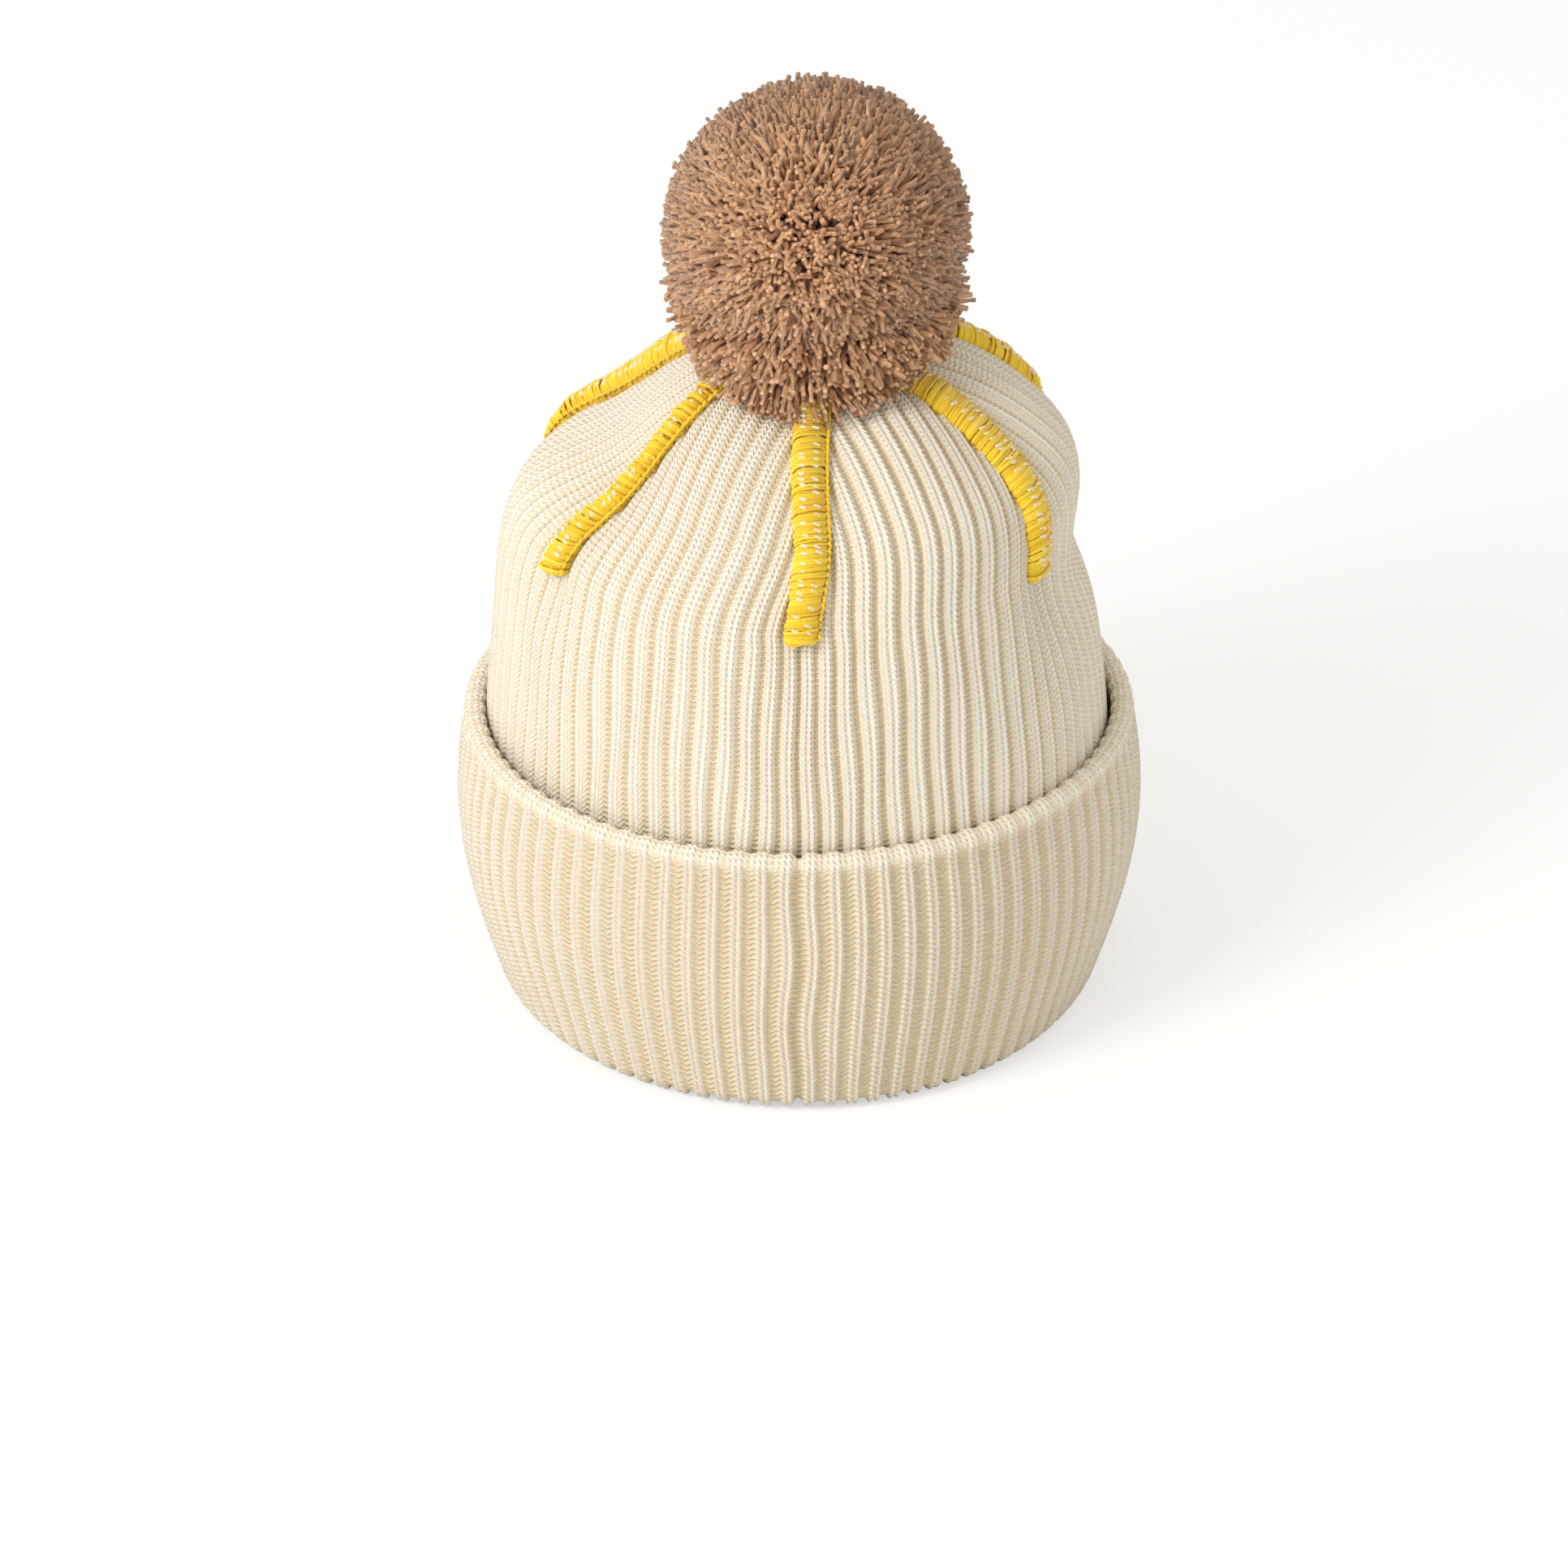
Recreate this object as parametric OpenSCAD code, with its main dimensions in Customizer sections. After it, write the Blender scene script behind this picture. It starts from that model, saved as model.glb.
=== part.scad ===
// Rib-knit beanie with a turned-up cuff, six overlocked crown seams and a yarn pompom.
// The hat stands on its rim: Z = 0 is the fold of the cuff and +Z runs up through the pompom.
// X is side to side, -Y is the back, where the knit is joined, and +Y is the front.

/* [Head opening] */
// Outside width of the body at the rim, side to side
rim_w = 160; // [135:1:195]
// Outside depth of the body at the rim, back to front
rim_d = 187; // [155:1:226]

/* [Body] */
// Outside width where the body is fullest
body_w = 177; // [147:1:214]
// Outside depth where the body is fullest
body_d = 186; // [155:1:224]
// Height of the fullest part above the rim
body_z = 75; // [60:1:92]
// Outside width at the shoulder, where the crown seams start
shoulder_w = 160; // [133:1:192]
// Outside depth at the shoulder
shoulder_d = 169; // [140:1:203]
// Height of the shoulder above the rim
shoulder_z = 146; // [121:1:176]
// Thickness of the rib knit in the body
knit_t = 3.5; // [2.5:0.1:4.5]

/* [Crown] */
// Rise of the crown from the shoulder to its top
crown_h = 52; // [42:1:64]
// How far each petal of the crown swells out between two seams
petal_swell = 5; // [2:0.5:7]

/* [Crown seams] */
// Width of an overlocked seam ridge
ridge_w = 9; // [7:0.5:11]
// Height of an overlocked seam ridge above the knit
ridge_h = 5; // [3.5:0.25:6.5]
// Distance from the crown's centre at which the ridges stop
ridge_stop = 14; // [12:0.5:20]

/* [Cuff] */
// Height of the turned-up cuff
cuff_h = 82; // [66:1:98]
// Thickness of the cuff's knit
cuff_t = 4.5; // [3.5:0.1:5.5]
// How far the cuff stands off the body at the sides
cuff_ease_w = 5.2; // [3:0.1:7]
// How far the cuff stands off the body at the back and front
cuff_ease_d = 3.2; // [2.6:0.1:5]

/* [Back join] */
// Width of the join's seam allowance inside the body
join_w = 7; // [5:0.5:9]
// Thickness of that seam allowance
join_t = 2; // [1.5:0.1:2.5]
// Thickness of the flattened join between the cuff and the body
cuff_join_t = 1.4; // [1:0.1:1.5]

/* [Care label] */
// Length of the folded label along the rim
label_w = 30; // [20:1:45]
// Height of the label
label_h = 22; // [15:1:35]
// Thickness of the two plies together
label_t = 0.6; // [0.4:0.1:1]

/* [Pompom] */
// Radius of the pompom over its cut ends
pompom_r = 44.5; // [37:0.5:54]
// Height of the pompom's centre above the crown's top
pompom_rise = 36; // [32:0.5:44]
// Radius of the eyelet that the tie passes through
eyelet_r = 3.4; // [3.2:0.1:3.8]
// Radius of the yarn binding that cinches the strands
binding_r = 7.5; // [6:0.5:9]
// Rocking limit of the pompom to each side, about either axis
rock_limit = 15; // [10:1:15]

/* [Fits] */
// Clearance between soft pieces that lie against each other
fit_gap = 0.3; // [0.25:0.05:0.4]

/* [Hidden] */

BACK = -90;                            // azimuth of the back join and of the back crown seam
PETAL = 60;                            // azimuth from one crown seam to the next, six in all
STEPS_ROUND = 60;                      // facets round the hat, ten to a petal
WALL_RINGS = 14;                       // rings from the rim to the shoulder
CROWN_RINGS = 13;                      // rings from the shoulder to the eyelet
CUFF_RINGS = 9;                        // rings up each face of the cuff
EDGE_STEPS = 4;                        // facets round the cuff's top edge
RIDGE_RINGS = 18;                      // rings along each crown seam
top_z = shoulder_z + crown_h;          // top of the crown
pivot_z = top_z - knit_t / 2;          // the tie rocks in the middle of the knit
binding_top = pompom_rise + knit_t / 2; // the binding reaches the pompom's centre
ball_r = eyelet_r - 0.5;               // ball of yarn that the tie makes in the eyelet
swell_from = shoulder_z - 46;          // the petals start to swell at this height
CREAM = "ivory";
YELLOW = "gold";
TAN = "tan";

// ---- The knit surface: a wall up to the shoulder, then a domed crown to the eyelet ----

// A cubic Bezier curve through p0 and p3
function bez(p0, p1, p2, p3, t) =
    pow(1 - t, 3) * p0 + 3 * pow(1 - t, 2) * t * p1 + 3 * (1 - t) * t * t * p2 + pow(t, 3) * p3;

// Half-size of the wall at height z, from its sizes at the rim, the fullest part and the shoulder
function wall_half(rim, full, shoulder, z) =
    z < body_z
        ? (rim + (full - rim) * sin(90 * z / body_z)) / 2
        : (full - (full - shoulder) * pow((z - body_z) / (shoulder_z - body_z), 2)) / 2;

// The crown shrinks from 1 at the shoulder to 0 at its centre while it rises
function crown_scale(t) = bez(1, 0.93, 0.6, 0, t);
function crown_z(t) = shoulder_z + crown_h * bez(0, 0.42, 1, 1, t);

// A station s runs from 0 at the rim to 1 at the shoulder and 2 at the crown's centre
function half_w(s) = s < 1 ? wall_half(rim_w, body_w, shoulder_w, s * shoulder_z)
                           : crown_scale(s - 1) * shoulder_w / 2;
function half_d(s) = s < 1 ? wall_half(rim_d, body_d, shoulder_d, s * shoulder_z)
                           : crown_scale(s - 1) * shoulder_d / 2;
function height(s) = s < 1 ? s * shoulder_z : crown_z(s - 1);

// Outward normal at station s, as [outward, upward], level on the wall and tilting over the crown
function slope(s) = let (
        ds = 0.01,
        dr = half_w(s + ds) - half_w(s - ds),
        dz = height(s + ds) - height(s - ds)
    ) [dz, -dr] / norm([dz, -dr]);
function normal(s) = s < 1 ? [1, 0] : slope(s);

// Share of the petals' swell at station s, and round the hat between two seams
function swell_along(s) = s < 1
    ? 0.55 * smooth((height(s) - swell_from) / (shoulder_z - swell_from))
    : (0.55 + 1.4 * (s - 1)) * pow(max(0, 2 - s), 0.8);
function smooth(x) = let (c = max(0, min(1, x))) c * c * (3 - 2 * c);
function swell_round(az) = abs(sin((az - BACK) * 180 / PETAL));
function swell(s, az) = petal_swell * swell_along(s) * swell_round(az);

// Point at station s and azimuth az, off millimetres outside the knit's outer face
function on_knit(s, az, off) = let (
        n = normal(s),
        d = off + swell(s, az)
    ) [
        (half_w(s) + d * n[0]) * cos(az),
        (half_d(s) + d * n[0]) * sin(az),
        height(s) + d * n[1]
    ];

// Azimuth that lies side millimetres beside azimuth az at station s
function beside(s, az, side) = az + side / half_w(s) * 180 / PI;

// Station at which the crown is r millimetres from its centre, found by halving
function station_at(r, low, high, tries) = let (mid = (low + high) / 2)
    tries == 0 ? mid
               : half_w(mid) > r ? station_at(r, mid, high, tries - 1)
                                 : station_at(r, low, mid, tries - 1);

// ---- Solids swept from rings of points ----

// Closed skin over rings of the same number of points; a looped skin joins its last ring to its first
module skin(rings, looped = false) {
    m = len(rings);
    n = len(rings[0]);
    sides = [
        for (i = [0 : looped ? m - 1 : m - 2]) for (j = [0 : n - 1])
            let (a = i * n + j, b = i * n + (j + 1) % n, k = ((i + 1) % m) * n)
            each [[a, b, k + (j + 1) % n], [a, k + (j + 1) % n, k + j]]
    ];
    caps = looped ? [] : [
        [for (j = [n - 1 : -1 : 0]) j],
        [for (j = [0 : n - 1]) (m - 1) * n + j]
    ];
    polyhedron(points = [for (ring = rings) each ring], faces = concat(sides, caps), convexity = 8);
}

// Azimuths of the facets round the hat, from the back join
function round_azimuths() = [for (i = [0 : STEPS_ROUND - 1]) BACK + i * 360 / STEPS_ROUND];

// ---- Knit pieces ----

// Rib-knit body with its crown petals, one fabric, open at the rim and at the tie's eyelet
module body_panel() {
    last = station_at(eyelet_r, 1, 2, 24);
    stations = concat(
        [for (i = [0 : WALL_RINGS - 1]) i / WALL_RINGS],
        [for (i = [0 : CROWN_RINGS]) 1 + (last - 1) * i / CROWN_RINGS]
    );
    count = len(stations);
    rings = [
        for (az = round_azimuths()) concat(
            [for (s = stations) on_knit(s, az, 0)],
            [for (i = [count - 1 : -1 : 0]) on_knit(stations[i], az, -knit_t)]
        )
    ];
    color(CREAM) skin(rings, looped = true);
}

// Clear space between the cuff's inner face and the body, for one ease value at height z
function cuff_gap(ease, z) = fit_gap + ease * sin(165 * z / cuff_h);

// Point on the cuff at height z and azimuth az, off millimetres outside the cuff's inner face
function on_cuff(z, az, off) = let (s = z / shoulder_z) [
        (half_w(s) + cuff_gap(cuff_ease_w, z) + off) * cos(az),
        (half_d(s) + cuff_gap(cuff_ease_d, z) + off) * sin(az),
        z
    ];

// Turned-up brim with a rounded top edge, standing on the fold
module cuff() {
    edge_r = cuff_t / 2;
    face_h = cuff_h - edge_r;
    section = concat(
        [for (i = [0 : CUFF_RINGS]) [face_h * i / CUFF_RINGS, cuff_t]],
        [
            for (i = [1 : EDGE_STEPS - 1]) let (a = 180 * i / EDGE_STEPS)
                [face_h + edge_r * sin(a), edge_r + edge_r * cos(a)]
        ],
        [for (i = [CUFF_RINGS : -1 : 0]) [face_h * i / CUFF_RINGS, 0]]
    );
    rings = [for (az = round_azimuths()) [for (p = section) on_cuff(p[0], az, p[1])]];
    color(CREAM) skin(rings, looped = true);
}

// ---- Seams ----

// Overlocked ridge that closes one dart of the crown, from the shoulder to near the centre
module crown_seam(az) {
    last = station_at(ridge_stop, 1, 2, 24);
    half = ridge_w / 2;
    section = [
        [half, 0], [half, 0.55], [half / 2, 0.92], [0, 1],
        [-half / 2, 0.92], [-half, 0.55], [-half, 0], [0, 0]
    ];
    rings = [
        for (i = [0 : RIDGE_RINGS]) let (s = 1 + (last - 1) * i / RIDGE_RINGS)
            [for (p = section) on_knit(s, beside(s, az, p[0]), fit_gap + p[1] * ridge_h)]
    ];
    color(YELLOW) skin(rings);
}

module crown_seam_back() { crown_seam(BACK); }
module crown_seam_back_right() { crown_seam(BACK + PETAL); }
module crown_seam_front_right() { crown_seam(BACK + 2 * PETAL); }
module crown_seam_front() { crown_seam(BACK + 3 * PETAL); }
module crown_seam_front_left() { crown_seam(BACK + 4 * PETAL); }
module crown_seam_back_left() { crown_seam(BACK + 5 * PETAL); }

// Seam allowance of the back join, against the inside of the body
module back_seam() {
    half = join_w / 2;
    low = 4 / shoulder_z;
    steps = 16;
    near = -knit_t - fit_gap;
    section = [[-half, near], [0, near], [half, near], [half * 0.6, near - join_t], [-half * 0.6, near - join_t]];
    rings = [
        for (i = [0 : steps]) let (s = low + (1 - low) * i / steps)
            [for (p = section) on_knit(s, beside(s, BACK, p[0]), p[1])]
    ];
    color(CREAM) skin(rings);
}

// The same join where the cuff is turned up, pressed flat between the cuff and the body
module cuff_seam() {
    half = join_w / 2;
    low = cuff_h * 0.22;
    high = cuff_h * 0.88;
    steps = 8;
    section = [[-half, -fit_gap], [0, -fit_gap], [half, -fit_gap], [half, -fit_gap - cuff_join_t],
               [0, -fit_gap - cuff_join_t], [-half, -fit_gap - cuff_join_t]];
    rings = [
        for (i = [0 : steps]) let (z = low + (high - low) * i / steps)
            [for (p = section) on_cuff(z, beside(z / shoulder_z, BACK, p[0]), p[1])]
    ];
    color(CREAM) skin(rings);
}

// Blank folded label, caught in the back join and lying against the inside of the body
module care_label() {
    rise = 14;
    steps = 8;
    near = -knit_t - 2 * fit_gap;
    start = -join_w / 2 - fit_gap;
    low = rise / shoulder_z;
    high = (rise + label_h) / shoulder_z;
    rings = [
        for (i = [0 : steps]) let (side = start - label_w * i / steps) [
            on_knit(low, beside(low, BACK, side), near),
            on_knit(high, beside(high, BACK, side), near),
            on_knit(high, beside(high, BACK, side), near - label_t),
            on_knit(low, beside(low, BACK, side), near - label_t)
        ]
    ];
    color("white") skin(rings);
}

// ---- Pompom ----

// Knot of the tie's two ends under the crown, dished round the ball, with two cut tails
module tie_knot() {
    knot_r = 7;
    knot_h = 7;
    tail_r = 1.4;
    tail_l = 13;
    knot_top = top_z - knit_t - 0.5;
    color(TAN) difference() {
        union() {
            translate([0, 0, knot_top - knot_h]) cylinder(h = knot_h - 2, r1 = knot_r - 3, r2 = knot_r, $fn = 48);
            translate([0, 0, knot_top - 2]) cylinder(h = 2, r1 = knot_r, r2 = knot_r - 1.5, $fn = 48);
            for (side = [-1, 1]) translate([side * 1.8, 0, knot_top - knot_h + 1]) rotate([180, side * 14, 0])
                cylinder(h = tail_l, r = tail_r, $fn = 24);
        }
        translate([0, 0, pivot_z]) sphere(r = ball_r + fit_gap, $fn = 48);
    }
}

// Doubled yarn of the tie, drawn into a ball in the crown's eyelet
module pompom_tie() {
    color(TAN) translate([0, 0, pivot_z]) sphere(r = ball_r, $fn = 48);
}

// Outline of the binding, from its foot just above the ball to the pompom's centre
foot_h = ball_r + fit_gap;
function binding_outline(extra) = [
    [0, foot_h - extra],
    [ball_r * 0.7 + extra, foot_h - extra],
    [ball_r * 1.25 + extra, foot_h + 6],
    [binding_r + extra, foot_h + 13],
    [binding_r + extra, binding_top + extra],
    [0, binding_top + extra]
];

// Yarn wound tight round the waist of the strands, with a tapered foot that meets the ball
module pompom_binding() {
    color(TAN) translate([0, 0, pivot_z]) rotate_extrude($fn = 64) polygon(binding_outline(0));
}

// The ball of cut strands, hollowed below so that it rocks clear of the crown and its ridges
module pompom_strands() {
    under_h = knit_t / 2 + ridge_h + 2.6;
    under_slope = tan(1.45 * rock_limit - 5);
    reach = pompom_r * 1.3;
    color(TAN) difference() {
        translate([0, 0, top_z + pompom_rise]) sphere(r = pompom_r, $fn = 96);
        translate([0, 0, pivot_z]) rotate_extrude($fn = 96)
            polygon([[0, under_h], [reach, under_h + reach * under_slope], [reach, -pompom_r], [0, -pompom_r]]);
        translate([0, 0, pivot_z]) rotate_extrude($fn = 64) polygon(binding_outline(fit_gap));
    }
}

body_panel();
cuff();
crown_seam_back();
crown_seam_back_right();
crown_seam_front_right();
crown_seam_front();
crown_seam_front_left();
crown_seam_back_left();
back_seam();
cuff_seam();
care_label();
tie_knot();
pompom_tie();
pompom_binding();
pompom_strands();
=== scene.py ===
import math
import bmesh
import bpy
import numpy as np
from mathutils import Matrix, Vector


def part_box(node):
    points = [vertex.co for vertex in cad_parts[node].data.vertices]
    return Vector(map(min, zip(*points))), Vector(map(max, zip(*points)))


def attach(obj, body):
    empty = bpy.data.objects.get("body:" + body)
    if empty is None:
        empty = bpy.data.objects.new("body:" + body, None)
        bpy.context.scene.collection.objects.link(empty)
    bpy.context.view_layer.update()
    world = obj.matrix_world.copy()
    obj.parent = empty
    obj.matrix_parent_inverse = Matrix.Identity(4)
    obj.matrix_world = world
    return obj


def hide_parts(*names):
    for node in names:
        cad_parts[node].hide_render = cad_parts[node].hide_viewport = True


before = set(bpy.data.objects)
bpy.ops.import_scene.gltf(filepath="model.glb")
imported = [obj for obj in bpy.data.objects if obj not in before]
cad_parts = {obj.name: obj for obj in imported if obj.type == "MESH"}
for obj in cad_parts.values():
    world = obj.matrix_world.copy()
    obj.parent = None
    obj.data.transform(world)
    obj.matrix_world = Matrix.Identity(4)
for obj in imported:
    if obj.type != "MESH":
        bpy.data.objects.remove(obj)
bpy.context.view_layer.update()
MM = 0.001

# ---- Viewpoint ----
# The hat is seen from behind and a little above, from far off, so that its round shape
# isn't stretched. The long lens stands in for a portrait lens at the far end of a studio.
VIEW_UP = math.radians(28)
LENS_MM = 600
SENSOR_MM = 36
FRAME_WIDTH = 0.454
AIM_RIGHT = -0.004
AIM_UP = 0.0477


def add_camera():
    """The camera, level from side to side and aimed at the middle of the hat."""
    data = bpy.data.cameras.new("camera")
    data.lens = LENS_MM
    data.sensor_width = SENSOR_MM
    distance = FRAME_WIDTH * LENS_MM / SENSOR_MM
    back = Vector((0, -math.cos(VIEW_UP), math.sin(VIEW_UP)))
    up = Vector((0, math.sin(VIEW_UP), math.cos(VIEW_UP)))
    aim = Vector((AIM_RIGHT, 0, 0)) + up * AIM_UP
    camera = bpy.data.objects.new("camera", data)
    camera.location = aim + back * distance
    camera.rotation_euler = (math.pi / 2 - VIEW_UP, 0, 0)
    bpy.context.scene.collection.objects.link(camera)
    bpy.context.scene.camera = camera


add_camera()


# ---- Studio ----
# A plain white floor under soft light: a large lamp high on the left, a weaker one on the
# right, and a pale room all round. Only the camera sees the floor and the room as white.
FLOOR_SIZE = 3
FLOOR_WHITE = "#FFFFFF"
FLOOR_GLOW = 0.55            # share of plain white in the floor, so that its shadow stays soft
ROOM_WHITE = "#FFFDF8"
ROOM_STRENGTH = 0.8
WHITE = (1, 1, 1, 1)
LAMPS = (                    # each lamp's name, place, width and watts
    ("key", (-1.0, -0.95, 1.15), 0.8, 17),
    ("fill", (1.3, -0.9, 0.7), 1.2, 0.4),
)
LAMPS_AIM = Vector((0, 0, 0.12))


def linear(hex_colour):
    """An sRGB hex value as linear red, green, blue and alpha."""
    parts = [int(hex_colour[i:i + 2], 16) / 255 for i in (1, 3, 5)]
    return [c / 12.92 if c <= 0.04045 else ((c + 0.055) / 1.055) ** 2.4 for c in parts] + [1]


def node(tree, kind, links=None, **settings):
    """Adds one shader node. Keys of links are its inputs, each with a value, a socket, or a node
    whose first output is used."""
    made = tree.nodes.new("ShaderNode" + kind)
    for key, value in settings.items():
        setattr(made, key, value)
    for key, value in (links or {}).items():
        if isinstance(value, bpy.types.Node):
            value = value.outputs[0]
        if isinstance(value, bpy.types.NodeSocket):
            tree.links.new(value, made.inputs[key])
        else:
            made.inputs[key].default_value = value
    return made


def new_material(name):
    """A material with no nodes yet, and its tree."""
    material = bpy.data.materials.new(name)
    material.use_nodes = True
    material.node_tree.nodes.clear()
    return material, material.node_tree


def seen_ray(tree):
    """1 where the camera, a glossy ray or a transmission ray looks, and 0 for light on the object."""
    ray = node(tree, "LightPath").outputs
    either = node(tree, "Math", {0: ray["Is Camera Ray"], 1: ray["Is Glossy Ray"]}, operation="MAXIMUM")
    return node(tree, "Math", {0: either, 1: ray["Is Transmission Ray"]}, operation="MAXIMUM")


def add_studio():
    """The room's light, the floor and the two lamps."""
    world = bpy.data.worlds.new("studio")
    bpy.context.scene.world = world
    world.use_nodes = True
    tree = world.node_tree
    tree.nodes.clear()
    room = node(tree, "Background", {"Color": linear(ROOM_WHITE), "Strength": ROOM_STRENGTH})
    white = node(tree, "Background", {"Color": WHITE, "Strength": 1})
    node(tree, "OutputWorld", {0: node(tree, "MixShader", {0: seen_ray(tree), 1: room, 2: white})})

    bm = bmesh.new()
    bmesh.ops.create_grid(bm, x_segments=1, y_segments=1, size=FLOOR_SIZE)
    mesh = bpy.data.meshes.new("floor")
    bm.to_mesh(mesh)
    bm.free()
    floor = bpy.data.objects.new("floor", mesh)
    bpy.context.scene.collection.objects.link(floor)
    material, tree = new_material("white_paper_sweep")
    paper = node(tree, "BsdfDiffuse", {"Color": linear(FLOOR_WHITE)})
    glow = node(tree, "Emission", {"Color": WHITE, "Strength": 1})
    share = node(tree, "Math", {0: seen_ray(tree), 1: FLOOR_GLOW}, operation="MULTIPLY")
    node(tree, "OutputMaterial", {0: node(tree, "MixShader", {0: share, 1: paper, 2: glow})})
    mesh.materials.append(material)

    for name, place, size, watts in LAMPS:
        data = bpy.data.lights.new(name, "AREA")
        data.shape = "DISK"
        data.size = size
        data.energy = watts
        lamp = bpy.data.objects.new(name, data)
        lamp.location = place
        lamp.rotation_euler = (LAMPS_AIM - Vector(place)).to_track_quat("-Z", "Y").to_euler()
        bpy.context.scene.collection.objects.link(lamp)
    bpy.context.scene.view_settings.view_transform = "Standard"


add_studio()


# ---- Body ----
# One tube of 2x2 rib knit in soft cream wool blend, joined at the centre back. Six darts are
# cut from its top, so the ribs of each petal run parallel and end slantwise at the crown seams.
BODY_LO, BODY_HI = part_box("body_panel")
RIM_W, RIM_D = 160 * MM, BODY_HI[1] - BODY_LO[1]
FULL_W, FULL_D, FULL_Z = BODY_HI[0] - BODY_LO[0], 186 * MM, 75 * MM
SHOULDER_W, SHOULDER_D, SHOULDER_Z = 160 * MM, 169 * MM, 146 * MM
CROWN_TOP = 198 * MM
KNIT_T = 3.5 * MM
EYELET_R = 3.4 * MM
PETAL_SWELL = 5 * MM
BACK = -math.pi / 2
PETALS = 6
RIBS = 84                    # ribs round the hat, fourteen to a petal
COURSE = 1.65 * MM           # height of one row of stitches
COLUMNS = RIBS * 12
BODY_RIB = 1.6 * MM          # depth of the grooves between the body's ribs
SWELL_RISE = 46 * MM         # the petals start to swell this far below the shoulder
PUCKER = 2.2 * MM            # depth of the dimple at the lower end of each crown seam
CROWN_LEAN = 4 * MM          # how far the soft crown leans to the right
SLOUCHES = (                 # where the crown sinks in: side, depth, angle across, height and rise
    (-1, 12 * MM, 0.85, 176 * MM, 20 * MM),
    (1, 6.5 * MM, 0.6, 134 * MM, 17 * MM),
)
GATHER = 0.2                 # how far the darts pull the ribs beside them together
# the second cream is painted shade: the deeper, warmer colour given to grooves and stitch dips
CREAM, CREAM_GROOVE_SHADE = "#FAF1E0", "#E6CB98"
UNEVEN = 0.7 / MM            # unevenness of the stitches, a change every 1.4 mm
FIBRES = 1.5 / MM            # wool fibres, drawn 0.7 mm apart, coarse enough to show
CLOUDS = 0.04 / MM           # uneven dye, a change every 25 mm


def smooth(x):
    """An S-curve from 0 to 1, level at both ends and past them."""
    x = np.clip(x, 0, 1)
    return x * x * (3 - 2 * x)


def bez(p0, p1, p2, p3, t):
    """A cubic Bezier curve from p0 to p3."""
    return (1 - t) ** 3 * p0 + 3 * (1 - t) ** 2 * t * p1 + 3 * (1 - t) * t * t * p2 + t ** 3 * p3


def half_size(rim, full, shoulder, s):
    """Half the width or depth at station s: 0 at the rim, 1 at the shoulder, 2 at the crown's centre."""
    z = np.minimum(s, 1) * SHOULDER_Z
    low = rim + (full - rim) * np.sin(np.pi / 2 * np.minimum(z / FULL_Z, 1))
    high = full - (full - shoulder) * (np.maximum(z - FULL_Z, 0) / (SHOULDER_Z - FULL_Z)) ** 2
    crown = shoulder * bez(1, 0.93, 0.6, 0, np.maximum(s - 1, 0))
    return np.where(s > 1, crown, np.where(z < FULL_Z, low, high)) / 2


def half_w(s):
    """Half the body's width at station s."""
    return half_size(RIM_W, FULL_W, SHOULDER_W, s)


def half_d(s):
    """Half the body's depth at station s."""
    return half_size(RIM_D, FULL_D, SHOULDER_D, s)


def height(s):
    """Height of station s above the rim."""
    return np.where(s < 1, s * SHOULDER_Z,
                    SHOULDER_Z + (CROWN_TOP - SHOULDER_Z) * bez(0, 0.42, 1, 1, np.maximum(s - 1, 0)))


def from_seam(az):
    """Angle from azimuth az to the nearest crown seam, in radians."""
    step = 2 * math.pi / PETALS
    return np.abs((az - BACK + step / 2) % step - step / 2)


def on_knit(s, az, off):
    """Points off metres outside the knit's outer face, at stations s and azimuths az."""
    s, az = np.broadcast_arrays(np.asarray(s, float), np.asarray(az, float))
    z = height(s)
    dr = half_w(s + 0.01) - half_w(s - 0.01)
    dz = height(s + 0.01) - height(s - 0.01)
    long = np.hypot(dr, dz)
    tilt = smooth((s - 0.9) / 0.15)
    out = np.where(s < 0.9, 1.0, 1 + (dz / long - 1) * tilt)
    up = np.where(s < 0.9, 0.0, -dr / long * tilt)
    along = np.where(s < 1, 0.55 * smooth((z - SHOULDER_Z + SWELL_RISE) / SWELL_RISE),
                     (0.55 + 1.4 * np.maximum(s - 1, 0)) * np.maximum(2 - s, 0) ** 0.8)
    swell = PETAL_SWELL * along * np.abs(np.sin(PETALS / 2 * (az - BACK)))
    side = from_seam(az) * half_w(s)
    pucker = PUCKER * np.exp(-(side / (8 * MM)) ** 2 - ((z - SHOULDER_Z + 4 * MM) / (12 * MM)) ** 2)
    drape = 0.9 * MM * np.sin(2 * az + 5 * s) * np.sin(3 * s + 0.6) * smooth(4 * s)
    drape += 0.5 * MM * np.sin(5 * az + 1.1 - 4 * s) * smooth(3 * s - 1)
    slouch = 0 * z
    for way, depth, across, level, rise in SLOUCHES:
        turned = np.arccos(np.clip(way * np.cos(az), -1, 1))
        slouch += depth * np.exp(-(turned / across) ** 2 - ((z - level) / rise) ** 2)
    lean = CROWN_LEAN * smooth((s - 1) / 0.35) * smooth((1.93 - s) / 0.25)
    d = off + swell - pucker + drape - slouch
    return np.stack([(half_w(s) + d * out) * np.cos(az) + lean, (half_d(s) + d * out) * np.sin(az),
                     z + d * up], axis=-1)


def body_rib(x):
    """Height of the body's rib over one period x: two wales side by side, then a narrow groove."""
    x = x % 1
    raised = smooth((x - 0.1) / 0.15) * smooth((0.9 - x) / 0.15)
    valley = np.where(np.abs(x - 0.5) < 0.12, np.cos((x - 0.5) / 0.12 * np.pi / 2) ** 2, 0)
    return raised * (1 - 0.3 * valley)


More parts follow.
